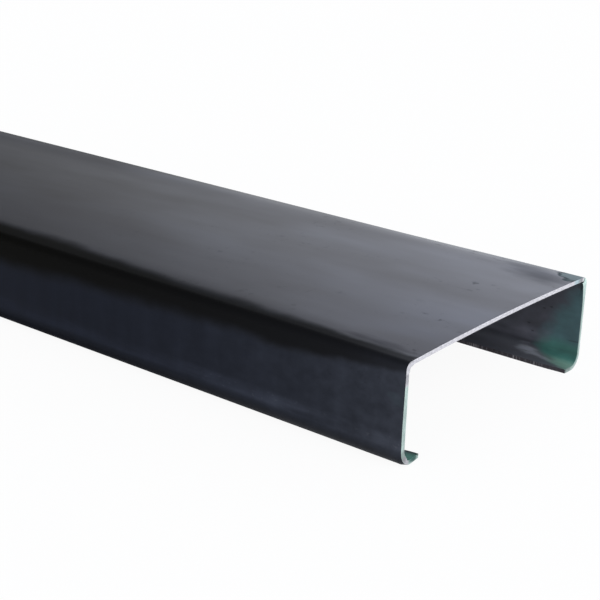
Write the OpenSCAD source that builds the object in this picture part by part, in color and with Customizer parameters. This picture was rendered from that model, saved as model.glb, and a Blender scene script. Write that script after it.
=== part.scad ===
// C purlin: one length of cold-rolled steel strip with two stiffened flanges.
//
// The stock lies web up on its two lips. X runs along the length, Y across the web
// and Z up. The origin is on the floor, midway along the length and between the flanges.

/* [Section] */
// Depth of the section across the web, outside to outside
web_depth = 203.2; // [100:0.1:300]
// Width of a flange, from the top of the web to the underside of the lip
flange_width = 63.5; // [40:0.1:100]
// Depth of a lip, from the outside of the flange to the slit edge
lip_depth = 18; // [15:0.1:30]

/* [Strip] */
// Thickness of the steel strip, 12 gauge
strip_thickness = 2.67; // [1:0.01:4]
// Inside radius of the two bends between the web and the flanges
web_bend_radius = 4; // [1:0.1:8]
// Inside radius of the two bends between the flanges and the lips
lip_bend_radius = 7.5; // [1:0.1:10]

/* [Length] */
// Length of the piece, 10 feet
stock_length = 3048; // [300:1:12192]

/* [Hidden] */
$fn = 96;

// Outside radii: every bend keeps the strip's thickness
web_bend_outside = web_bend_radius + strip_thickness;
lip_bend_outside = lip_bend_radius + strip_thickness;

// Flat lengths that are left between the bends
web_half_flat = web_depth / 2 - web_bend_outside;
flange_flat = flange_width - web_bend_outside - lip_bend_outside;
lip_flat = lip_depth - lip_bend_outside;

// A flat stretch of strip, on its own axis from the origin along X
module flat(length) {
    square([length, strip_thickness]);
}

// A right-angled bend, which starts at the origin along X and turns down, with the strip
// above the bend's inside face
module bend(inside_radius) {
    outside_radius = inside_radius + strip_thickness;
    translate([0, -inside_radius])
        intersection() {
            difference() {
                circle(outside_radius);
                circle(inside_radius);
            }
            square(outside_radius);
        }
}

// Carries on from the end of a bend, in the direction in which it leaves
module after_bend(inside_radius) {
    translate([inside_radius, -inside_radius])
        rotate(-90)
            children();
}

// Half of the section, walked along the strip from the middle of the web to the slit edge
module half_strip() {
    flat(web_half_flat);
    translate([web_half_flat, 0]) {
        bend(web_bend_radius);
        after_bend(web_bend_radius) {
            flat(flange_flat);
            translate([flange_flat, 0]) {
                bend(lip_bend_radius);
                after_bend(lip_bend_radius)
                    flat(lip_flat);
            }
        }
    }
}

// The whole section, in its own plane, with the undersides of the lips on its X axis
module section() {
    translate([0, flange_width - strip_thickness]) {
        half_strip();
        mirror([1, 0])
            half_strip();
    }
}

// The piece of stock: the section run along the length and cut square at both ends
module c_purlin() {
    color([0.16, 0.17, 0.19])
        rotate([90, 0, 90])
            linear_extrude(height = stock_length, center = true)
                section();
}

c_purlin();
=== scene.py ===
"""C purlin: one length of cold-formed steel strip, lying web up on its two lips.

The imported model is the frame: X runs along the length, with the marked cut end at +X,
Y runs across the web and Z is up. Lengths are in metres unless a name says otherwise.
"""

import math
from collections import namedtuple

import bmesh
import bpy
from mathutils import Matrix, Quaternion, Vector


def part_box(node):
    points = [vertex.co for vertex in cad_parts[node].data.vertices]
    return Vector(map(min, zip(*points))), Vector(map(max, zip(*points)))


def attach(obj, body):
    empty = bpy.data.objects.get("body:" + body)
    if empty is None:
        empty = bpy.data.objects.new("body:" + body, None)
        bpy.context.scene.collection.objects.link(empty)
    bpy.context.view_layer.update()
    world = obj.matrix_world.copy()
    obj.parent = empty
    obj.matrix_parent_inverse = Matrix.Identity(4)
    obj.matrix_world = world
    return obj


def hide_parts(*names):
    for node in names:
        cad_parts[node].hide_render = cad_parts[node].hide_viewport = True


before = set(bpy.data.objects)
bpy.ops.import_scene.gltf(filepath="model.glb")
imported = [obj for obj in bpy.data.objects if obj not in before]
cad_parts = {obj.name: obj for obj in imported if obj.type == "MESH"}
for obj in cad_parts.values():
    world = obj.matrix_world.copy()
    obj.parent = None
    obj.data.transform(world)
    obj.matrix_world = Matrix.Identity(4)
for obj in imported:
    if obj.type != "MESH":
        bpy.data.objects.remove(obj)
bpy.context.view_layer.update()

bl_info = {
    "name": "C Purlin",
    "version": (1, 0, 0),
    "blender": (4, 5, 0),
    "location": "View3D > Sidebar > Purlin",
    "description": "Forms a steel C purlin round its packed model, with its stage",
    "category": "Add Mesh",
}

MM = 0.001
CAD_NODE = "c_purlin"
LOW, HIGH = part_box(CAD_NODE)
LENGTH = HIGH.x - LOW.x
HALF_LENGTH = LENGTH / 2
HALF_WEB = (HIGH.y - LOW.y) / 2
HEIGHT = HIGH.z - LOW.z
INSIDE_STEP = 1.0  # what the strip map's V gains on the inside of the C
SHARP_ANGLE = math.radians(20)  # edges that turn more than this are drawn sharp
CORNER_STEPS = 12  # facets round a web bend
LIP_STEPS = 14  # facets round a lip bend
WEB_ROWS = 9  # cuts along the web between those beside its bends
LENGTH_ROWS = 69  # cuts across the length between those beside its ends
SHEAR_REACH = 2.5 * MM  # how far in from an end the shear has moved metal

# How the lips lift towards their tips.
LIFT_START = 3 * MM  # in from the flange's outside
LIFT_EASE = 5 * MM  # over which the lift takes on its full slope
LIFT_SPAN = 12.5 * MM  # by which the lift is divided, to be 1 at the tip
LIFT_LENGTH = 18 * MM  # along the strip from an end, to where the lift is least
LIFT_KEPT = 0.1  # share of the lift that is left there


def linear(hex_colour):
    """An sRGB hex colour, such as "#34353d", as linear RGBA."""
    parts = [int(hex_colour[i : i + 2], 16) / 255 for i in (1, 3, 5)]
    return (*[c / 12.92 if c <= 0.04045 else ((c + 0.055) / 1.055) ** 2.4 for c in parts], 1.0)


def size_prop(name, description, default):
    """A length that the sidebar shows in the scene's units."""
    return bpy.props.FloatProperty(
        name=name,
        description=description,
        default=default,
        min=0.0,
        precision=5,
        unit="LENGTH",
        subtype="DISTANCE",
    )


def angle_prop(name, description, degrees):
    """An angle that the sidebar shows in degrees."""
    return bpy.props.FloatProperty(
        name=name,
        description=description,
        default=math.radians(degrees),
        unit="ROTATION",
        subtype="ANGLE",
    )


def colour_prop(name, description, default):
    """A colour that the sidebar shows as a swatch."""
    return bpy.props.FloatVectorProperty(
        name=name,
        description=description,
        default=linear(default),
        size=4,
        min=0.0,
        max=1.0,
        subtype="COLOR",
    )


class PurlinSizes(bpy.types.PropertyGroup):
    """Sizes of the formed strip."""

    strip: size_prop("Strip", "Thickness of the steel strip", 2.67 * MM)
    lip: size_prop("Lip", "From the outside of the flange to the slit edge", 18 * MM)
    web_bend: size_prop("Web bend", "Inside radius between web and flange", 4 * MM)
    front_corner: size_prop("Front corner", "Outside radius of the front web bend", 4.2 * MM)
    back_corner: size_prop("Back corner", "Outside radius of the back web bend", 5.2 * MM)
    lip_bend: size_prop("Lip bend", "Inside radius between flange and lip", 7.5 * MM)
    crown: size_prop("Crown", "How far the web's edges lie below its middle", 0.8 * MM)
    end_crown: size_prop("End crown", "What a sheared end adds to the crown", 1.3 * MM)
    end_length: size_prop("End length", "How far the shear's pull reaches from an end", 96 * MM)
    web_reach: size_prop("Web reach", "Width of web that turns down beside a bend", 16 * MM)
    web_tilt: angle_prop("Web tilt", "How far the web has turned down at a bend", 7.8)
    flange_reach: size_prop("Flange reach", "Width of flange that turns in below a bend", 10 * MM)
    flange_tilt: angle_prop("Flange tilt", "How far the flange has turned in at a bend", 6)
    back_lean: size_prop("Back lean", "How far the back flange's top leans in", 1.4 * MM)
    front_tip: size_prop("Front tip", "How far the front lip's end turns up", 1.45 * MM)
    back_tip: size_prop("Back tip", "How far the back lip's end turns up", 0.5 * MM)
    rollover: size_prop("Rollover", "How far the shear has rolled in the front lip's end", 0.9 * MM)
    front_drag: size_prop("Front drag", "Metal the shear has dragged in at the front flange", 0.9 * MM)
    lip_drag: size_prop("Lip drag", "Metal the shear has dragged in at the front lip's bend", 1.7 * MM)
    back_drag: size_prop("Back drag", "Metal the shear has dragged in at the back flange's top", 2.0 * MM)
    edge_round: size_prop("Edge round", "Rounding of the sheared and slit edges", 0.2 * MM)


class PurlinColours(bpy.types.PropertyGroup):
    """Colours of the steel and of the paint mark on its end, with painted shade on the far flanges and
    the web bends and painted light in the lips.
    """

    scale_cool: colour_prop("Cool scale", "Blue-black mill scale on the web", "#3c3f4b")
    scale_warm: colour_prop("Warm scale", "Web scale that oil has browned", "#3c3b42")
    oil_film: colour_prop("Oil film", "Web scale where the oil film is thickest", "#44444a")
    # The flange near the ends, and further in, where it is darkened by painted shade.
    flange_near_end: colour_prop("Handled flange", "Flange scale near the handled ends", "#353840")
    flange_shaded_far: colour_prop("Deep flange", "Flange scale far from the ends", "#080e1c")
    # Painted shade for the dark band along the web bends, near the ends and further in.
    bend_shade_near_end: colour_prop("Bend oil", "Oil pressed into the bends near the ends", "#242529")
    bend_shade_far: colour_prop("Deep bend oil", "The same oil far from the ends", "#100f0b")
    inside: colour_prop("Inside scale", "Dry scale inside the C", "#45464e")
    # Dust, whose pale colour in the lips also stands in for light reaching in from the open end.
    dust_and_light: colour_prop("Dust", "Dust that lies in the lips", "#54565d")
    scrape: colour_prop("Scrape", "Pale scrape on the back lip's bend", "#868a92")
    sheared: colour_prop("Sheared steel", "Bright steel on the cut ends", "#cac8cc")
    slit: colour_prop("Slit edge", "Dulled steel on the long slit edges", "#3e3b40")
    paint: colour_prop("Paint", "Green mark sprayed on the end", "#3a6a62")
    paint_mist: colour_prop("Paint mist", "The same green where it is only a mist", "#385458")
    paint_thin_mist: colour_prop("Drifted paint", "The green drifted over the web", "#4c6064")
    paint_dusty: colour_prop("Dusty paint", "The same green under the lip's dust", "#709386")
    paint_bare: colour_prop("Paint on bare steel", "The green over bright steel", "#b1c4bd")
    paint_thin: colour_prop("Thin paint", "The green where it thins out on bright steel", "#aabcc1")


class PurlinView(bpy.types.PropertyGroup):
    """Where the camera stands: it looks at one point on top of the web."""

    azimuth: angle_prop("Azimuth", "Turn of the camera round the purlin", 37.22)
    elevation: angle_prop("Elevation", "Height of the camera above the horizon", 19.4)
    roll: angle_prop("Roll", "Tilt of the camera about its own axis", 2.63)
    distance: size_prop("Distance", "From the camera to the point it looks at", 0.7853)
    from_end: size_prop("From end", "From the marked end to that point", 96.5 * MM)
    off_middle: size_prop("Off middle", "From the web's middle to that point", 68.1 * MM)
    lens: bpy.props.FloatProperty(
        name="Lens",
        description="Focal length on a 36 mm wide sensor",
        default=82.38,
        unit="CAMERA",
    )


def add(tree, kind, *values, sockets=None, **settings):
    """Adds a node with its settings, fills its sockets and returns its first output."""
    made = tree.nodes.new(kind)
    for name, value in settings.items():
        setattr(made, name, value)
    live = [socket for socket in made.inputs if socket.enabled]
    wanted = list(zip(live, values))
    wanted += [(made.inputs[name], value) for name, value in (sockets or {}).items()]
    for socket, value in wanted:
        if isinstance(value, bpy.types.NodeSocket):
            tree.links.new(value, socket)
        elif value is not None:
            socket.default_value = value
    return next((socket for socket in made.outputs if socket.enabled), None)


def new_material(name):
    """An empty material and its node tree."""
    material = bpy.data.materials.new(name)
    material.use_nodes = True
    material.node_tree.nodes.clear()
    return material, material.node_tree


# ---------------------------------------------------------------- materials
#
# The strip map lays the strip flat again, in metres: U is the distance from the marked end and
# V the distance round the section from the web's middle, minus on the front side. On the inside
# of the C, V is INSIDE_STEP more. On a cut face U is the depth below the strip's outer skin.

MATH = "ShaderNodeMath"
MIX = "ShaderNodeMix"
RANGE = "ShaderNodeMapRange"
VECTOR = "ShaderNodeVectorMath"
SOFT = {"interpolation_type": "SMOOTHSTEP"}

# Roughness of each finish: the lower, the shinier.
SHINY_ROUGH = 0.26  # the back bend and flange outside, near the ends
WEB_ROUGH = (0.36, 0.28)  # scale that oil has browned, and blue-black scale
CUT_ROUGH = 0.5  # both the sheared ends and the slit edges
FILM_ROUGH = 0.5  # where the oil film is thickest
DRY_ROUGH = 0.55
BAND_ROUGH = 0.75  # the dark band along the web bends
MARKED_ROUGH = 0.85  # scuffs, the smudge, the dull patch of painted shade and the drifted paint
RUBBED_ROUGH = (0.55, 0.9)  # lip bends and lips near the ends, and far from them

# Patterns and marks on the flat strip.
NOISE_SPAN = (0.3, 0.7)  # the noise values that become 0 and 1
INSIDE_SHIFT = 7.0  # how far the patterns inside the C are from those outside
MARK_RIM = 1.25  # where a mark has faded out, in radii of its oval
RIM_WANDER = 0.5  # how far the rim wanders in, in the same radii
RIM_PATCH = 0.8  # size of one such wander, in the same radii
ONE_SIDE = 0.5  # a mark's reach through the strip: too short to show on the other side

Places = namedtuple("Places", "from_end side around inside flat")
Marks = namedtuple("Marks", "web_edge flange_top lip_bend lip_flat slit")


def strip_places(tree):
    """Where a point lies on the flat strip, and that place as a vector for patterns and spots.

    Side is the distance round from the web's middle, minus in front, and around is its size.
    """
    strip_map = add(tree, "ShaderNodeUVMap", uv_map="strip")
    split = add(tree, "ShaderNodeSeparateXYZ", strip_map).node.outputs
    inside = add(tree, MATH, split["Y"], 0.5, operation="GREATER_THAN")
    side = add(tree, MATH, split["Y"], inside, operation="SUBTRACT")
    around = add(tree, MATH, side, operation="ABSOLUTE")
    flat = add(tree, "ShaderNodeCombineXYZ", split["X"], side, inside)
    return Places(split["X"], side, around, inside, flat)


def patches(tree, places, along, across, seed, detail=3.0):
    """Soft noise from 0 to 1 whose patches are that long and that wide on the flat strip."""
    scale = (1 / along, 1 / across, INSIDE_SHIFT)
    place = add(tree, VECTOR, places.flat, scale, (0.0, 0.0, seed), operation="MULTIPLY_ADD")
    noise = add(tree, "ShaderNodeTexNoise", place, sockets={"Scale": 1.0, "Detail": detail})
    return add(tree, RANGE, noise, *NOISE_SPAN, 0.0, 1.0)


def spot(tree, places, centre, size, turn=0.0, soft=0.7, inside=0.0):
    """1 inside one oval mark on the flat strip, given in mm, fading to 0 at its ragged rim."""
    middle = (centre[0] * MM, centre[1] * MM, inside)
    reach = (size[0] * MM, size[1] * MM, ONE_SIDE)
    oval = add(
        tree,
        "ShaderNodeMapping",
        places.flat,
        middle,
        (0.0, 0.0, math.radians(turn)),
        reach,
        vector_type="TEXTURE",
    )
    away = add(tree, VECTOR, oval, operation="LENGTH")
    wander = [side * MM * RIM_PATCH for side in size]
    rim = patches(tree, places, *wander, centre[0], 2.0)
    away = add(tree, MATH, rim, RIM_WANDER, away, operation="MULTIPLY_ADD")
    return add(tree, RANGE, away, MARK_RIM, MARK_RIM - soft, 0.0, 1.0, **SOFT)


def tinted(tree, colour, cover, tint):
    """The colour with a tint over it where the cover says."""
    return add(tree, MIX, cover, colour, tint[:], data_type="RGBA")


def shaded(tree, colour, pattern, low, high):
    """The colour made darker or lighter by a pattern: times low at 0 and times high at 1."""
    shade = add(tree, RANGE, pattern, 0.0, 1.0, low, high)
    return add(tree, VECTOR, colour, operation="SCALE", sockets={"Scale": shade})


def spotted(tree, at, colour, centre, size, shade, **form):
    """The colour times shade inside one oval mark on the flat strip, given in mm."""
    return shaded(tree, colour, spot(tree, at, centre, size, **form), 1.0, shade)


def outside_scale(tree, at, colours, marks):
    """The oiled mill scale on the outside: its colour and its roughness."""
    near_end = add(tree, MATH, at.from_end, HALF_LENGTH, operation="PINGPONG")

    # Near the ends the flanges are greyer and more mottled; further in, painted shade darkens them to
    # blue-black, standing in for their darker reflection there.
    # 1 at the ends, fading further in: it scales handling wear and mottle, and the painted shade of the
    #                                   far flanges and the bend band.
    handled_and_lit = add(tree, MATH, near_end, -1 / (150 * MM), operation="MULTIPLY")
    handled_and_lit = add(tree, MATH, handled_and_lit, operation="EXPONENT")
    flange = add(
        tree, MIX, handled_and_lit, colours.flange_shaded_far[:], colours.flange_near_end[:], data_type="RGBA"
    )
    flange = shaded(tree, flange, patches(tree, at, 12 * MM, 70 * MM, 9.3), 0.9, 1.1)
    mottle = patches(tree, at, 9 * MM, 7 * MM, 6.1, 4.0)
    mottle = add(tree, MIX, handled_and_lit, 0.5, mottle)
    flange = shaded(tree, flange, mottle, 0.8, 1.2)

    # A pale line of dried oil runs above the lip bend. The bend itself is darkened with painted shade, as
    # it faces the floor in the purlin's shadow, and is rougher too.
    line_low = add(tree, RANGE, at.around, marks.lip_bend - 12 * MM, marks.lip_bend - 7 * MM, **SOFT)
    line_high = add(tree, RANGE, at.around, marks.lip_bend, marks.lip_bend - 3 * MM, **SOFT)
    line = add(tree, MATH, line_low, line_high, operation="MULTIPLY")
    line = add(tree, MATH, line, patches(tree, at, 60 * MM, 9 * MM, 8.2), operation="MULTIPLY")
    flange = shaded(tree, flange, line, 1.0, 1.65)
    flecks = patches(tree, at, 4 * MM, 2.5 * MM, 2.9, 4.0)
    flecks = add(tree, RANGE, flecks, 0.75, 1.0, 0.0, handled_and_lit)
    flecks = add(tree, MATH, flecks, line, operation="MULTIPLY")
    flecks = add(tree, MATH, flecks, handled_and_lit, operation="MULTIPLY")
    flange = tinted(tree, flange, flecks, colours.dust_and_light)
    # Painted shade on the lip bend, which faces the shaded floor beneath.
    darkened = add(tree, RANGE, at.around, marks.lip_bend - 2 * MM, marks.lip_bend + 5 * MM, **SOFT)
    flange = shaded(tree, flange, darkened, 1.0, 0.68)
    flange = spotted(tree, at, flange, (95, -149), (75, 7), 1.45, soft=1.1)

    # The web is duller and lighter, with wide soft clouds where the oil has run and dried.
    clouds = patches(tree, at, 150 * MM, 60 * MM, 0.0)
    drift = patches(tree, at, 400 * MM, 16 * MM, 5.1, 2.0)
    web = add(tree, MIX, clouds, colours.scale_warm[:], colours.scale_cool[:], data_type="RGBA")
    web = shaded(tree, web, clouds, 0.85, 1.15)
    web = shaded(tree, web, drift, 0.93, 1.07)
    scuffs = patches(tree, at, 5 * MM, 5 * MM, 1.7, 5.0)
    scuffs = add(tree, RANGE, scuffs, 0.75, 1.0, 0.0, 1.0)
    worn_web = patches(tree, at, 50 * MM, 35 * MM, 3.1, 1.0)
    worn_web = add(tree, RANGE, worn_web, 0.5, 0.9, 0.0, handled_and_lit)
    scuffs = add(tree, MATH, scuffs, worn_web, operation="MULTIPLY")
    on_web = add(tree, RANGE, at.around, marks.web_edge, marks.web_edge - 8 * MM, **SOFT)
    oiled = add(tree, RANGE, at.side, 10 * MM, -70 * MM, 0.0, 0.55)
    oiled_far = add(tree, RANGE, near_end, 40 * MM, 220 * MM, 0.0, 1.0)
    oiled = add(tree, MATH, oiled, oiled_far, operation="MULTIPLY")
    web = tinted(tree, web, oiled, colours.oil_film)
    colour = add(tree, MIX, on_web, flange, web, data_type="RGBA")

    # Along the web bends runs a dark band of painted shade, standing in for the dark reflection the bends
    # show; it is rougher too, and narrower and fainter at the ends.
    wander = patches(tree, at, 45 * MM, 30 * MM, 7.9, 5.0)
    wander = add(tree, RANGE, wander, 0.0, 1.0, -2.5 * MM, 2.5 * MM)
    place = add(tree, MATH, at.around, wander, operation="ADD")
    middle = add(
        tree, RANGE, near_end, 0.0, 60 * MM, marks.web_edge + 3.2 * MM, marks.web_edge + 6.5 * MM
    )
    behind = add(tree, MATH, at.side, 0.0, operation="GREATER_THAN")
    middle = add(tree, MATH, behind, 15 * MM, middle, operation="MULTIPLY_ADD")
    away = add(tree, MATH, place, middle, operation="SUBTRACT")
    away = add(tree, MATH, away, operation="ABSOLUTE")
    end_half_width = add(tree, RANGE, near_end, 0.0, 60 * MM, 6.8 * MM, 9 * MM)
    deep = add(tree, RANGE, near_end, 130 * MM, 300 * MM, 0.0, 6 * MM, **SOFT)
    half = add(tree, MATH, end_half_width, deep, operation="ADD")
    away = add(tree, MATH, away, half, operation="SUBTRACT")
    soft = add(tree, RANGE, near_end, 0.0, 150 * MM, 1.8 * MM, 6 * MM)
    sharp = add(tree, MATH, soft, -1.0, operation="MULTIPLY")
    band = add(tree, RANGE, away, soft, sharp, **SOFT)
    kept = add(tree, RANGE, near_end, 0.0, 40 * MM, 0.7, 1.0)
    band = add(tree, MATH, band, kept, operation="MULTIPLY")
    # The band's painted shade, darker further from the ends.
    oil = add(tree, MIX, handled_and_lit, colours.bend_shade_far[:], colours.bend_shade_near_end[:], data_type="RGBA")
    colour = add(tree, MIX, band, colour, oil, data_type="RGBA")

    # Marks on the marked end: a smudge by the front bend, and by the back one a dull patch that is also
    # painted shade.
    # Paint has drifted onto the web by the back bend, with a dark rim, and thinly onto the
    # front flange.
    smudge = spot(tree, at, (28, -88), (30, 6), soft=1.1)
    # The patch by the back bend is painted shade as well as rougher.
    dull_shaded_patch = spot(tree, at, (26, 80), (44, 18), 10, 1.1)
    marked = add(tree, MATH, smudge, dull_shaded_patch, operation="MAXIMUM")
    marked = add(tree, MATH, marked, scuffs, operation="MAXIMUM")
    marked = add(tree, MATH, marked, 0.35, operation="MULTIPLY")
    drifted = spot(tree, at, (1, 93), (17, 12.5), soft=0.45)
    rim = add(tree, MATH, drifted, 0.5, operation="PINGPONG")
    rim = add(tree, MATH, rim, 1.3, operation="MULTIPLY")
    rim = add(tree, MATH, drifted, 0.3, rim, operation="MULTIPLY_ADD")
    marked = add(tree, MATH, marked, rim, operation="MAXIMUM")
    colour = shaded(tree, colour, marked, 1.0, 0.6)
    thin = spot(tree, at, (5, -121), (8, 5))
    thin = add(tree, MATH, thin, 0.1, operation="MULTIPLY")
    drifted = add(tree, MATH, drifted, thin, operation="MAXIMUM")
    colour = tinted(tree, colour, drifted, colours.paint_thin_mist)

    rough = add(tree, RANGE, clouds, 0.0, 1.0, *WEB_ROUGH)
    bright = add(tree, RANGE, at.side, 87 * MM, 93 * MM, 0.0, 1.0)
    polished = add(tree, RANGE, near_end, 100 * MM, 220 * MM, 1.0, 0.0)
    bright = add(tree, MATH, bright, polished, operation="MULTIPLY")
    rough = add(tree, MIX, bright, rough, SHINY_ROUGH)
    rough = add(tree, MIX, oiled, rough, FILM_ROUGH)
    dry = add(tree, RANGE, at.side, 60 * MM, 90 * MM, 0.0, 0.6)
    dry_far = add(tree, RANGE, near_end, 240 * MM, 400 * MM, 0.0, 1.0)
    dry = add(tree, MATH, dry, dry_far, operation="MULTIPLY")
    rough = add(tree, MIX, dry, rough, DRY_ROUGH)
    rough = add(tree, MIX, marked, rough, MARKED_ROUGH)
    rough = add(tree, MIX, band, rough, BAND_ROUGH)
    rubbed_rough = add(tree, RANGE, handled_and_lit, 0.6, 0.1, *RUBBED_ROUGH)
    rough = add(tree, MIX, darkened, rough, rubbed_rough)
    return colour, rough


def inside_scale(tree, at, colours, marks):
    """The dry scale inside the C: its colour, and how metallic it is where dusty; the lips' pale colour
    is partly painted light.
    """
    mottle = patches(tree, at, 16 * MM, 9 * MM, 4.8, 5.0)
    colour = shaded(tree, colours.inside[:3], mottle, 0.82, 1.18)

    # Dust lies in the lip, in a pale line above its bend, and has been wiped off between. Its pale colour
    # in the lip is partly painted light, for light reaching in from the open end.
    line_low = add(tree, RANGE, at.around, marks.lip_bend - 13 * MM, marks.lip_bend - 7 * MM, **SOFT)
    line_high = add(tree, RANGE, at.around, marks.lip_bend + 1 * MM, marks.lip_bend - 2 * MM, **SOFT)
    line = add(tree, MATH, line_low, line_high, operation="MULTIPLY")
    line = add(tree, MATH, line, patches(tree, at, 40 * MM, 12 * MM, 1.1), operation="MULTIPLY")
    colour = shaded(tree, colour, line, 1.0, 2.2)
    settled_dust_and_light = add(tree, RANGE, at.around, marks.lip_bend + 1 * MM, marks.lip_bend + 7 * MM, **SOFT)
    colour = tinted(tree, colour, settled_dust_and_light, colours.dust_and_light)

    # Pits in the scale, and a pale scrape along the back lip's bend.
    for centre in ((33, 145), (36, 140), (66, 146), (26, 127), (21, 125)):
        colour = spotted(tree, at, colour, centre, (1.5, 0.9), 0.55, inside=1.0)
    grit = patches(tree, at, 12 * MM, 3 * MM, 2.2, 5.0)
    grit = add(tree, RANGE, grit, 0.15, 0.7, 0.35, 1.1)
    for centre, size in (((32, 162), (14, 6.5)), ((21, 166), (14, 2.5))):
        scrape = spot(tree, at, centre, size, -17, soft=0.7, inside=1.0)
        scrape = add(tree, MATH, scrape, grit, operation="MULTIPLY")
        colour = tinted(tree, colour, scrape, colours.scrape)
    metallic = add(tree, RANGE, settled_dust_and_light, 0.0, 1.0, 0.5, 0.1)
    return colour, metallic


def spray(tree, at, colours, marks):
    """The green mark sprayed into the end: where it lies, and its colour."""
    ragged = patches(tree, at, 16 * MM, 12 * MM, 3.7, 4.0)
    ragged = add(tree, RANGE, ragged, 0.0, 1.0, -4 * MM, 4 * MM)
    growing = add(tree, RANGE, at.around, marks.flange_top, marks.lip_bend, 4 * MM, 28 * MM)
    shrinking = add(tree, RANGE, at.around, marks.lip_bend + 3 * MM, marks.slit, 0.0, 26 * MM)
    past = add(tree, MATH, at.from_end, growing, operation="SUBTRACT")
    past = add(tree, MATH, past, shrinking, operation="ADD")
    past = add(tree, MATH, past, ragged, operation="ADD")
    cover = add(tree, RANGE, past, 7 * MM, -7 * MM, **SOFT)
    cover = add(tree, MATH, cover, at.inside, operation="MULTIPLY")

    # It is a mist on the flange, full above the bend and dusted over on the lip.
    full = add(tree, RANGE, at.around, marks.lip_bend - 9 * MM, marks.lip_bend - 1 * MM, **SOFT)
    dusted = add(tree, RANGE, at.around, marks.lip_bend + 6 * MM, marks.lip_bend + 15 * MM, **SOFT)
    back = add(tree, RANGE, at.side, -0.1, 0.1, 0.3, 1.0)
    dusted = add(tree, MATH, dusted, back, operation="MULTIPLY")
    colour = add(tree, MIX, full, colours.paint_mist[:], colours.paint[:], data_type="RGBA")
    colour = tinted(tree, colour, dusted, colours.paint_dusty)
    colour = shaded(tree, colour, patches(tree, at, 8 * MM, 5 * MM, 2.4, 4.0), 0.85, 1.15)
    # Darker on a line above the back lip's bend, at that bend's start, in the back web bend and
    # along the front slit edge; lighter in both lip bends.
    colour = spotted(tree, at, colour, (3, 144.5), (6, 1), 0.55, turn=4, inside=1.0)
    colour = spotted(tree, at, colour, (3, 153.5), (24, 3), 0.8, soft=1.1, inside=1.0)
    colour = spotted(tree, at, colour, (2, 103), (7, 7), 0.4, inside=1.0)
    colour = spotted(tree, at, colour, (6, -176), (22, 3.5), 0.4, inside=1.0)
    colour = spotted(tree, at, colour, (8, 161), (13, 7), 1.3, soft=1.0, inside=1.0)
    colour = spotted(tree, at, colour, (8, -166), (16, 9), 1.4, soft=1.0, inside=1.0)
    return cover, colour


def mill_scale_steel(colours, marks):
    """Hot-rolled strip, cold formed: blue-black mill scale under a film of mill oil.

    The scale is a dark, even metallic skin, clouded by the oil outside and dulled where dusty inside,
    with a green mark sprayed into one end. Its colour also carries painted shade on the bends and far
    flanges, and painted light in the lips.
    """
    material, tree = new_material("mill_scale_steel")
    at = strip_places(tree)
    outer, outer_rough = outside_scale(tree, at, colours, marks)
    inner, inner_metallic = inside_scale(tree, at, colours, marks)
    cover, green = spray(tree, at, colours, marks)
    colour = add(tree, MIX, at.inside, outer, inner, data_type="RGBA")
    colour = add(tree, MIX, cover, colour, green, data_type="RGBA")
    wiped = spot(tree, at, (20, 143), (15, 13), soft=1.1, inside=1.0)
    colour = shaded(tree, colour, wiped, 1.0, 1.4)
    metallic = add(tree, MIX, at.inside, 1.0, inner_metallic)
    metallic = add(tree, MIX, cover, metallic, 0.0)
    rough = add(tree, MIX, at.inside, outer_rough, DRY_ROUGH)
    waves = patches(tree, at, 60 * MM, 22 * MM, 4.4, 1.0)
    bump = add(tree, "ShaderNodeBump", sockets={"Height": waves, "Distance": 0.05 * MM})
    shader = add(
        tree,
        "ShaderNodeBsdfPrincipled",
        sockets={"Base Color": colour, "Metallic": metallic, "Roughness": rough, "Normal": bump},
    )
    add(tree, "ShaderNodeOutputMaterial", shader)
    return material


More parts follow.
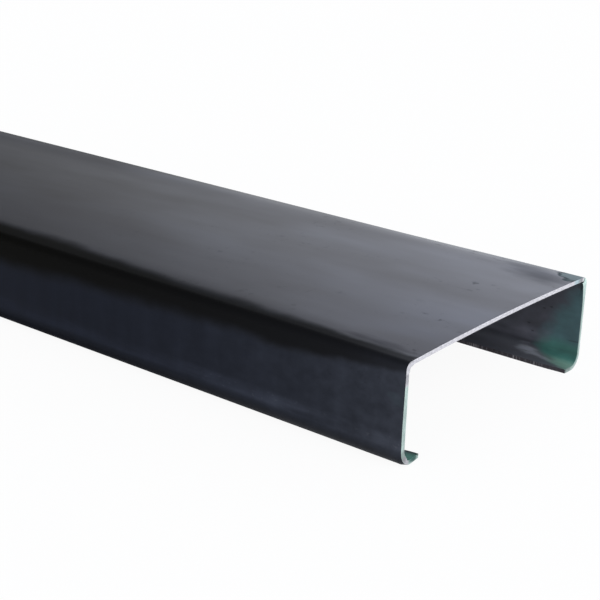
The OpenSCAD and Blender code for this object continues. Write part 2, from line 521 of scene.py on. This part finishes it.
def sheared_steel(colours, marks):
    """Steel that the shear has just parted: bright and grainy, with the paint mark over it."""
    material, tree = new_material("sheared_steel")
    at = strip_places(tree)
    grain = patches(tree, at, 0.8 * MM, 2.2 * MM, 3.3, 4.0)
    bare = shaded(tree, colours.sheared[:3], grain, 0.8, 1.2)

    # Paint covers the cut from below the front web bend, and from the back web bend on.
    marked = add(tree, MATH, at.from_end, 1.0, operation="LESS_THAN")
    front = add(tree, RANGE, at.side, -marks.flange_top - 6 * MM, -marks.flange_top - 8 * MM, **SOFT)
    back = add(tree, RANGE, at.side, marks.web_edge + 1 * MM, marks.web_edge + 4 * MM, **SOFT)
    cover = add(tree, MATH, front, back, operation="MAXIMUM")
    cover = add(tree, MATH, cover, marked, operation="MULTIPLY")
    coat = patches(tree, at, 3 * MM, 9 * MM, 5.5, 4.0)
    green = shaded(tree, colours.paint_bare[:3], coat, 0.75, 1.15)
    colour = add(tree, MIX, cover, bare, green, data_type="RGBA")
    colour = tinted(tree, colour, spot(tree, at, (1.3, 88), (6, 5)), colours.paint_thin)

    # The paint is worn off the front lip's bend. The front bends, the web beside the back bend
    # and the back lip are rubbed darker; the back web and lip bends are cleaner.
    worn_bend = spot(tree, at, (1.2, -162), (2.6, 7))
    colour = tinted(tree, colour, worn_bend, colours.sheared)
    colour = shaded(tree, colour, worn_bend, 1.0, 0.7)
    darkened = (
        ((1.1, -156), (3, 7)),
        ((0.2, -97.5), (1, 3)),
        ((1.3, -108), (6, 5)),
        ((1.3, 92), (6, 4)),
        ((1.3, 94.3), (4, 2.2)),
        ((1.3, 173), (6, 8)),
        ((1.3, 176.5), (6, 3)),
    )
    for centre, size in darkened:
        colour = spotted(tree, at, colour, centre, size, 0.6)
    cleaner = (((1.3, 104), (6, 8)), ((1.3, 99.5), (6, 4)), ((2.4, 163), (1.2, 6)))
    for centre, size in cleaner:
        colour = spotted(tree, at, colour, centre, size, 1.25, soft=1.0)
    inner_edge = add(tree, RANGE, at.from_end, 0.8 * MM, 2.4 * MM, **SOFT)
    back_flange = add(tree, RANGE, at.side, marks.flange_top + 8 * MM, marks.flange_top + 16 * MM)
    inner_edge = add(tree, MATH, inner_edge, back_flange, operation="MULTIPLY")
    colour = shaded(tree, colour, inner_edge, 1.0, 0.6)

    # On the front lip the paint has run over the inner edge of the cut.
    run = spot(tree, at, (2.2, -171), (2.7, 5.5))
    colour = tinted(tree, colour, run, colours.paint)
    colour = shaded(tree, colour, run, 1.0, 0.6)
    colour = spotted(tree, at, colour, (2.5, -175.5), (1.3, 3), 0.3)
    shader = add(
        tree,
        "ShaderNodeBsdfPrincipled",
        sockets={"Base Color": colour, "Metallic": 0.5, "Roughness": CUT_ROUGH},
    )
    add(tree, "ShaderNodeOutputMaterial", shader)
    return material


def slit_edge_steel(colours):
    """The coil's slit edge: sheared long ago, dulled, and nicked bright in handling."""
    material, tree = new_material("slit_edge_steel")
    at = strip_places(tree)
    nicks = patches(tree, at, 1.6 * MM, 1.6 * MM, 1.3, 4.0)
    rows = patches(tree, at, 22 * MM, 8 * MM, 3.6, 1.0)
    rows = add(tree, RANGE, rows, 0.3, 0.8, 0.0, 0.6)
    for along, length in ((17, 4), (25, 6), (36, 7), (67, 6)):
        knocked = spot(tree, at, (along, 176), (length, 6), soft=0.9)
        rows = add(tree, MATH, rows, knocked, operation="MAXIMUM")
    nicks = add(tree, RANGE, nicks, 0.4, 0.95, 0.0, rows)
    nicks = add(tree, MATH, nicks, 0.5, operation="MULTIPLY")
    dirt = patches(tree, at, 14 * MM, 3 * MM, 6.6, 4.0)
    dulled = shaded(tree, colours.slit[:3], dirt, 0.75, 1.25)
    colour = tinted(tree, dulled, nicks, colours.sheared)
    shader = add(
        tree,
        "ShaderNodeBsdfPrincipled",
        sockets={"Base Color": colour, "Metallic": 0.8, "Roughness": CUT_ROUGH},
    )
    add(tree, "ShaderNodeOutputMaterial", shader)
    return material


# ---------------------------------------------------------------- the formed strip


def smooth_step(low, high, value):
    """0 below low, 1 above high and an even curve between."""
    t = min(max((value - low) / (high - low), 0.0), 1.0)
    return t * t * (3 - 2 * t)


def spaced(low, high, count):
    """Evenly spaced places strictly between low and high."""
    return [low + (high - low) * (i + 1) / (count + 1) for i in range(count)]


def strip_marks(sizes):
    """Where the flats and the bends begin, as distances round the strip from the web's middle."""
    web_round = sizes.web_bend + sizes.strip
    lip_round = sizes.lip_bend + sizes.strip
    web_edge = HALF_WEB - web_round
    flange_top = web_edge + web_round * math.pi / 2
    lip_bend = flange_top + HEIGHT - web_round - lip_round
    lip_flat = lip_bend + lip_round * math.pi / 2
    return Marks(web_edge, flange_top, lip_bend, lip_flat, lip_flat + sizes.lip - lip_round)


def girth(y, z, sizes, marks):
    """How far round the strip a point lies from the web's middle, before the crown."""
    web_round = sizes.web_bend + sizes.strip
    lip_round = sizes.lip_bend + sizes.strip
    across = abs(y)
    if z > HEIGHT - web_round and across < marks.web_edge:
        run = across
    elif z > HEIGHT - web_round:
        turn = math.atan2(across - marks.web_edge, z - HEIGHT + web_round)
        run = marks.web_edge + web_round * turn
    elif z > lip_round:
        run = marks.flange_top + HEIGHT - web_round - z
    elif across > HALF_WEB - lip_round:
        run = marks.lip_bend + lip_round * math.atan2(lip_round - z, across - HALF_WEB + lip_round)
    else:
        run = marks.lip_flat + HALF_WEB - lip_round - across
    return math.copysign(run, y)


def draw_skin(bm, sizes):
    """The outer skin with sharp corners: the section's line, drawn out along X."""
    tip = HALF_WEB - sizes.lip
    corners = [
        (-tip, LOW.z),
        (-HALF_WEB, LOW.z),
        (-HALF_WEB, HIGH.z),
        (HALF_WEB, HIGH.z),
        (HALF_WEB, LOW.z),
        (tip, LOW.z),
    ]
    verts = [bm.verts.new((LOW.x, y, z)) for y, z in corners]
    line = [bm.edges.new(pair) for pair in zip(verts, verts[1:])]
    drawn = bmesh.ops.extrude_edge_only(bm, edges=line)["geom"]
    moved = [item for item in drawn if isinstance(item, bmesh.types.BMVert)]
    bmesh.ops.translate(bm, verts=moved, vec=(LENGTH, 0, 0))


def bend_corner(bm, across, height, radius, segments):
    """Rounds the long corner at that place of the section to an outside radius."""
    corner = Vector((across, height))
    ends = {v for v in bm.verts if (v.co.yz - corner).length < MM / 100}
    bmesh.ops.bevel(
        bm,
        geom=[edge for edge in bm.edges if ends.issuperset(edge.verts)],
        offset=radius,
        offset_type="OFFSET",
        segments=segments,
        profile=0.5,
        affect="EDGES",
        material=-1,
        clamp_overlap=False,
    )


def cut_rows(bm, axis, places, above=-1.0):
    """Cuts the skin above a height by a plane across one axis at each of those places."""
    normal = Vector((0, 0, 0))
    normal[axis] = 1
    for place in places:
        faces = [face for face in bm.faces if min(vert.co.z for vert in face.verts) > above]
        bmesh.ops.bisect_plane(
            bm,
            geom=list({item for face in faces for item in (face, *face.edges, *face.verts)}),
            plane_co=normal * place,
            plane_no=normal,
            dist=1e-7,
        )


def divide_skin(bm, sizes):
    """Gives the flats the rows that the crown, the roll-off and the end need."""
    beside_bend = [-1.3 * MM, 0.0, 1.5 * MM, 3.5 * MM, 6 * MM, 9 * MM, 12.5 * MM, 17 * MM]
    web_flat = HALF_WEB - sizes.web_bend - sizes.strip
    rows = spaced(beside_bend[-1] - web_flat, web_flat - beside_bend[-1], WEB_ROWS)
    rows += [side * (web_flat - step) for side in (-1, 1) for step in beside_bend]
    cut_rows(bm, 1, rows, HIGH.z / 2)
    flange_top = HIGH.z - sizes.web_bend - sizes.strip
    cut_rows(bm, 2, [flange_top - step for step in beside_bend] + [25 * MM])
    end_steps = [1 * MM, 2.5 * MM, 6 * MM, 12 * MM, 20 * MM, 32 * MM, 48 * MM, 68 * MM, 92 * MM]
    rows = spaced(end_steps[-1] - HALF_LENGTH, HALF_LENGTH - end_steps[-1], LENGTH_ROWS)
    rows += [side * (HALF_LENGTH - step) for side in (-1, 1) for step in end_steps]
    cut_rows(bm, 0, rows)


def place_key(co):
    """A point's place to the micron, to tell points apart by."""
    return tuple(round(c, 6) for c in co)


def thicken(bm, sizes):
    """Gives the skin the strip's thickness, inwards, and returns the skin's own places."""
    bmesh.ops.recalc_face_normals(bm, faces=bm.faces[:])
    top = max(bm.faces, key=lambda face: face.calc_center_median().z)
    if top.normal.z < 0:
        bmesh.ops.reverse_faces(bm, faces=bm.faces[:])
    skin = {place_key(vert.co) for vert in bm.verts}
    bmesh.ops.solidify(bm, geom=bm.faces[:], thickness=sizes.strip)

    # Inside a web bend the metal stays full: its corner is rounder than the outer one.
    web_round = sizes.web_bend + sizes.strip
    centre = Vector((HALF_WEB - web_round, HEIGHT - web_round))
    for vert in bm.verts:
        reach = Vector((abs(vert.co.y), vert.co.z)) - centre
        if min(reach) > 0 and place_key(vert.co) not in skin:
            reach.length = sizes.web_bend
            vert.co.y = math.copysign(centre.x + reach.x, vert.co.y)
            vert.co.z = centre.y + reach.y
    return skin


def press_ends(bm, skin, sizes, marks):
    """Moves the rims as the shear did: it rolls the front lip's bend in, and drags inner edges."""
    lip_round = sizes.lip_bend + sizes.strip
    for vert in bm.verts:
        near = 1 - smooth_step(0, SHEAR_REACH, HALF_LENGTH - abs(vert.co.x))
        run = girth(vert.co.y, vert.co.z, sizes, marks)
        outer = place_key(vert.co) in skin
        if near > 0 and run > marks.web_edge + 4 * MM and not outer:
            vert.co.y -= sizes.back_drag * near * smooth_step(44 * MM, 62 * MM, vert.co.z)
        if near > 0 and run < -marks.web_edge:
            if outer:
                moved = smooth_step(marks.lip_bend - 8 * MM, marks.lip_bend + 5 * MM, -run)
                moved -= smooth_step(marks.lip_flat - 7 * MM, marks.lip_flat + 1 * MM, -run)
                moved *= sizes.rollover
            else:
                moved = sizes.front_drag * smooth_step(marks.web_edge, marks.lip_bend, -run)
                bend = smooth_step(marks.lip_bend - 3 * MM, marks.lip_bend + 7 * MM, -run)
                moved += (sizes.lip_drag - moved) * bend
                moved *= 1 - smooth_step(marks.lip_flat - 9 * MM, marks.lip_flat - 1 * MM, -run)
            turn = min(max((-run - marks.lip_bend) / lip_round, 0.0), math.pi / 2)
            vert.co += Vector((0, math.cos(turn), math.sin(turn))) * moved * near


def is_end(face):
    """True for the faces of the two sheared ends."""
    return abs(face.normal.x) > 0.9


def is_slit(face, sizes):
    """True for the faces of the two long slit edges."""
    tip = HALF_WEB - sizes.lip
    middle = face.calc_center_median()
    return abs(abs(middle.y) - tip) < MM / 20 and abs(face.normal.y) > 0.9


def fall_away(run, reach, tilt):
    """How far a face lies below its flat: it turns down by tilt within reach, then runs straight."""
    slope = math.tan(tilt)
    if run <= 0:
        return 0.0
    return slope * run * run / (2 * reach) if run < reach else slope * (run - reach / 2)


def formed_shape(co, sizes):
    """Where a point of the straight section lies once the rolls and the shear have shaped it."""
    from_end = HALF_LENGTH - abs(co.x)
    at_end = 1 - smooth_step(0, sizes.end_length, from_end)
    rolled = smooth_step(0, sizes.end_length * 1.2, from_end)
    across = abs(co.y)
    up = (co.z - LOW.z) / HEIGHT
    web_round = sizes.web_bend + sizes.strip
    crown = (sizes.crown + sizes.end_crown * at_end) * (across / HALF_WEB) ** 2
    beside = across - (HALF_WEB - web_round - sizes.web_reach)
    drop = crown + rolled * fall_away(beside, sizes.web_reach, sizes.web_tilt)
    above = co.z - (HIGH.z - web_round - sizes.flange_reach)
    pull = rolled * fall_away(above, sizes.flange_reach, sizes.flange_tilt)
    if co.y > 0:
        pull += sizes.back_lean * up
    lift = 0.0
    lip_round = sizes.lip_bend + sizes.strip
    if co.z < LOW.z + lip_round:
        tip = sizes.front_tip if co.y < 0 else sizes.back_tip
        inwards = fall_away(HALF_WEB - LIFT_START - across, LIFT_EASE, math.radians(45)) / LIFT_SPAN
        ending = 1 - smooth_step(0, LIFT_LENGTH, from_end)
        lift = tip * inwards * (LIFT_KEPT + (1 - LIFT_KEPT) * ending)
    return Vector((co.x, co.y * (1 - pull / HALF_WEB), co.z - drop * up + lift))


def lay_out(bm, skin, sizes, marks):
    """Gives each face its material, and each of its corners its place on the flat strip."""
    strip_map = bm.loops.layers.uv.new("strip")
    for face in bm.faces:
        ends, slit = is_end(face), is_slit(face, sizes)
        face.material_index = 1 if ends else 2 if slit else 0
        outer = [place_key(vert.co) in skin for vert in face.verts]
        step = 0.0 if all(outer) or ends or slit else INSIDE_STEP
        for loop in face.loops:
            co = loop.vert.co
            depth = 0.0 if place_key(co) in skin or not ends else sizes.strip
            run = girth(co.y, co.z, sizes, marks)
            loop[strip_map].uv = (HALF_LENGTH - co.x + depth, run + step)


def round_rims(bm, sizes):
    """Rounds the edges where two materials meet, and keeps the ends within the length."""
    rims = [e for e in bm.edges if len({f.material_index for f in e.link_faces}) == 2]
    bmesh.ops.bevel(
        bm,
        geom=rims,
        offset=sizes.edge_round,
        offset_type="OFFSET",
        segments=2,
        profile=0.5,
        affect="EDGES",
        material=-1,
        clamp_overlap=True,
    )
    for vert in bm.verts:
        vert.co.x = min(max(vert.co.x, LOW.x), HIGH.x)


def smooth_faces(bm):
    """Shades the faces smooth, apart from across the sharp edges."""
    for face in bm.faces:
        face.smooth = True
    for edge in bm.edges:
        if len(edge.link_faces) == 2 and edge.calc_face_angle(0.0) > SHARP_ANGLE:
            edge.smooth = False


class PURLIN_OT_strip(bpy.types.Operator):
    """Forms the purlin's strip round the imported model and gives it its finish"""

    bl_idname = "purlin.strip"
    bl_label = "Form the Strip"

    def execute(self, context):
        sizes = context.scene.purlin_sizes
        colours = context.scene.purlin_colours
        marks = strip_marks(sizes)
        bm = bmesh.new()
        draw_skin(bm, sizes)
        lip_round = sizes.lip_bend + sizes.strip
        bend_corner(bm, -HALF_WEB, HIGH.z, sizes.front_corner, CORNER_STEPS)
        bend_corner(bm, HALF_WEB, HIGH.z, sizes.back_corner, CORNER_STEPS)
        bend_corner(bm, -HALF_WEB, LOW.z, lip_round, LIP_STEPS)
        bend_corner(bm, HALF_WEB, LOW.z, lip_round, LIP_STEPS)
        divide_skin(bm, sizes)
        skin = thicken(bm, sizes)
        lay_out(bm, skin, sizes, marks)
        press_ends(bm, skin, sizes, marks)
        for vert in bm.verts:
            vert.co = formed_shape(vert.co, sizes)
        round_rims(bm, sizes)
        smooth_faces(bm)
        mesh = bpy.data.meshes.new("purlin_strip")
        bm.to_mesh(mesh)
        bm.free()
        for material in (
            mill_scale_steel(colours, marks),
            sheared_steel(colours, marks),
            slit_edge_steel(colours),
        ):
            mesh.materials.append(material)
        strip = bpy.data.objects.new("purlin_strip", mesh)
        context.collection.objects.link(strip)
        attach(strip, "root")
        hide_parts(CAD_NODE)
        return {"FINISHED"}


# ---------------------------------------------------------------- the stage

FLOOR_SIZE = 60.0
FLOOR_WHITE = (0.93, 0.35)  # share of its own white: to the camera, and in reflections
WALLS = (0.09, 1.72)  # light from -X, and from the other walls
OVERHEAD = 0.4
HORIZON = 1.0
LAMP_POWER = 1.3
LAMP_WIDTH = math.radians(50)
LAMP_AIM = (-1.0, 0.1, -0.75)
SENSOR_WIDTH = 36.0
CLIP = (0.02, 200.0)


def studio_floor():
    """White seamless floor: mostly its own white to the eye, the rest lit, so a shadow stays."""
    material, tree = new_material("studio_floor")
    lit = add(tree, "ShaderNodeBsdfDiffuse", (1.0, 1.0, 1.0, 1.0))
    own = add(tree, "ShaderNodeEmission", (1.0, 1.0, 1.0, 1.0), 1.0)
    path = add(tree, "ShaderNodeLightPath").node.outputs
    seen = add(tree, MATH, path["Is Camera Ray"], path["Is Transmission Ray"], operation="MAXIMUM")
    share = add(tree, MATH, seen, FLOOR_WHITE[0], operation="MULTIPLY")
    glossy = add(tree, MATH, path["Is Glossy Ray"], FLOOR_WHITE[1], operation="MULTIPLY")
    share = add(tree, MATH, share, glossy, operation="MAXIMUM")
    add(tree, "ShaderNodeOutputMaterial", add(tree, "ShaderNodeMixShader", share, lit, own))
    return material


def studio_world():
    """A soft studio: bright low walls, dimmer towards -X and overhead, pale along the horizon."""
    world = bpy.data.worlds.new("studio")
    world.use_nodes = True
    tree = world.node_tree
    tree.nodes.clear()
    place = add(tree, "ShaderNodeTexCoord").node.outputs["Generated"]
    direction = add(tree, "ShaderNodeSeparateXYZ", place).node.outputs
    walls = add(tree, RANGE, direction["X"], -0.87, -0.32, *WALLS, **SOFT)
    overhead = add(tree, RANGE, direction["Z"], 0.43, 0.75, 0.0, 1.0, **SOFT)
    level = add(tree, MIX, overhead, walls, OVERHEAD)
    horizon = add(tree, RANGE, direction["Z"], 0.03, 0.12, 1.0, 0.0, **SOFT)
    level = add(tree, MIX, horizon, level, HORIZON)
    tint = add(tree, RANGE, direction["X"], -0.74, -0.45, 0.0, 1.0, **SOFT)
    tint = add(
        tree, MIX, tint, (0.965, 0.985, 1.0, 1.0), (0.89, 0.925, 1.0, 1.0), data_type="RGBA"
    )
    shader = add(tree, "ShaderNodeBackground", tint, level)
    add(tree, "ShaderNodeOutputWorld", shader)
    return world


class PURLIN_OT_stage(bpy.types.Operator):
    """Sets the floor, the studio light and the camera"""

    bl_idname = "purlin.stage"
    bl_label = "Set the Stage"

    def execute(self, context):
        bm = bmesh.new()
        bmesh.ops.create_grid(bm, x_segments=1, y_segments=1, size=FLOOR_SIZE)
        bmesh.ops.translate(bm, verts=bm.verts[:], vec=(0, 0, LOW.z))
        mesh = bpy.data.meshes.new("floor")
        bm.to_mesh(mesh)
        bm.free()
        mesh.materials.append(studio_floor())
        floor = bpy.data.objects.new("floor", mesh)
        context.collection.objects.link(floor)

        context.scene.world = studio_world()
        context.scene.view_settings.view_transform = "Standard"

        light = bpy.data.lights.new("soft_overhead", "SUN")
        light.energy = LAMP_POWER
        light.angle = LAMP_WIDTH
        lamp = bpy.data.objects.new("soft_overhead", light)
        lamp.rotation_mode = "QUATERNION"
        lamp.rotation_quaternion = Vector(LAMP_AIM).to_track_quat("-Z", "Y")
        context.collection.objects.link(lamp)

        view = context.scene.purlin_view
        flat = math.cos(view.elevation)
        back = Vector(
            (
                math.sin(view.azimuth) * flat,
                -math.cos(view.azimuth) * flat,
                math.sin(view.elevation),
            )
        )
        camera = bpy.data.objects.new("camera", bpy.data.cameras.new("camera"))
        camera.data.lens = view.lens
        camera.data.sensor_width = SENSOR_WIDTH
        camera.data.clip_start, camera.data.clip_end = CLIP
        aim = Vector((HIGH.x - view.from_end, -view.off_middle, HIGH.z))
        camera.location = aim + back * view.distance
        turn = (-back).to_track_quat("-Z", "Y") @ Quaternion((0, 0, 1), view.roll)
        camera.rotation_mode = "QUATERNION"
        camera.rotation_quaternion = turn
        context.collection.objects.link(camera)
        context.scene.camera = camera
        return {"FINISHED"}


class PURLIN_PT_panel(bpy.types.Panel):
    """Lists the purlin's operators and sizes"""

    bl_idname = "PURLIN_PT_panel"
    bl_label = "C Purlin"
    bl_space_type = "VIEW_3D"
    bl_region_type = "UI"
    bl_category = "Purlin"

    def draw(self, context):
        layout = self.layout
        for group in (
            context.scene.purlin_sizes,
            context.scene.purlin_colours,
            context.scene.purlin_view,
        ):
            box = layout.box()
            for name in group.__annotations__:
                box.prop(group, name)
        layout.operator(PURLIN_OT_strip.bl_idname)
        layout.operator(PURLIN_OT_stage.bl_idname)


CLASSES = (
    PurlinSizes,
    PurlinColours,
    PurlinView,
    PURLIN_OT_strip,
    PURLIN_OT_stage,
    PURLIN_PT_panel,
)


def register():
    """Registers the classes and gives the scene their settings."""
    for cls in CLASSES:
        bpy.utils.register_class(cls)
    bpy.types.Scene.purlin_sizes = bpy.props.PointerProperty(type=PurlinSizes)
    bpy.types.Scene.purlin_colours = bpy.props.PointerProperty(type=PurlinColours)
    bpy.types.Scene.purlin_view = bpy.props.PointerProperty(type=PurlinView)


def unregister():
    """Takes the settings and the classes away again."""
    del bpy.types.Scene.purlin_view
    del bpy.types.Scene.purlin_colours
    del bpy.types.Scene.purlin_sizes
    for cls in reversed(CLASSES):
        bpy.utils.unregister_class(cls)


def main():
    """Makes the purlin and its stage."""
    register()
    bpy.ops.purlin.strip()
    bpy.ops.purlin.stage()


if __name__ == "__main__":
    main()
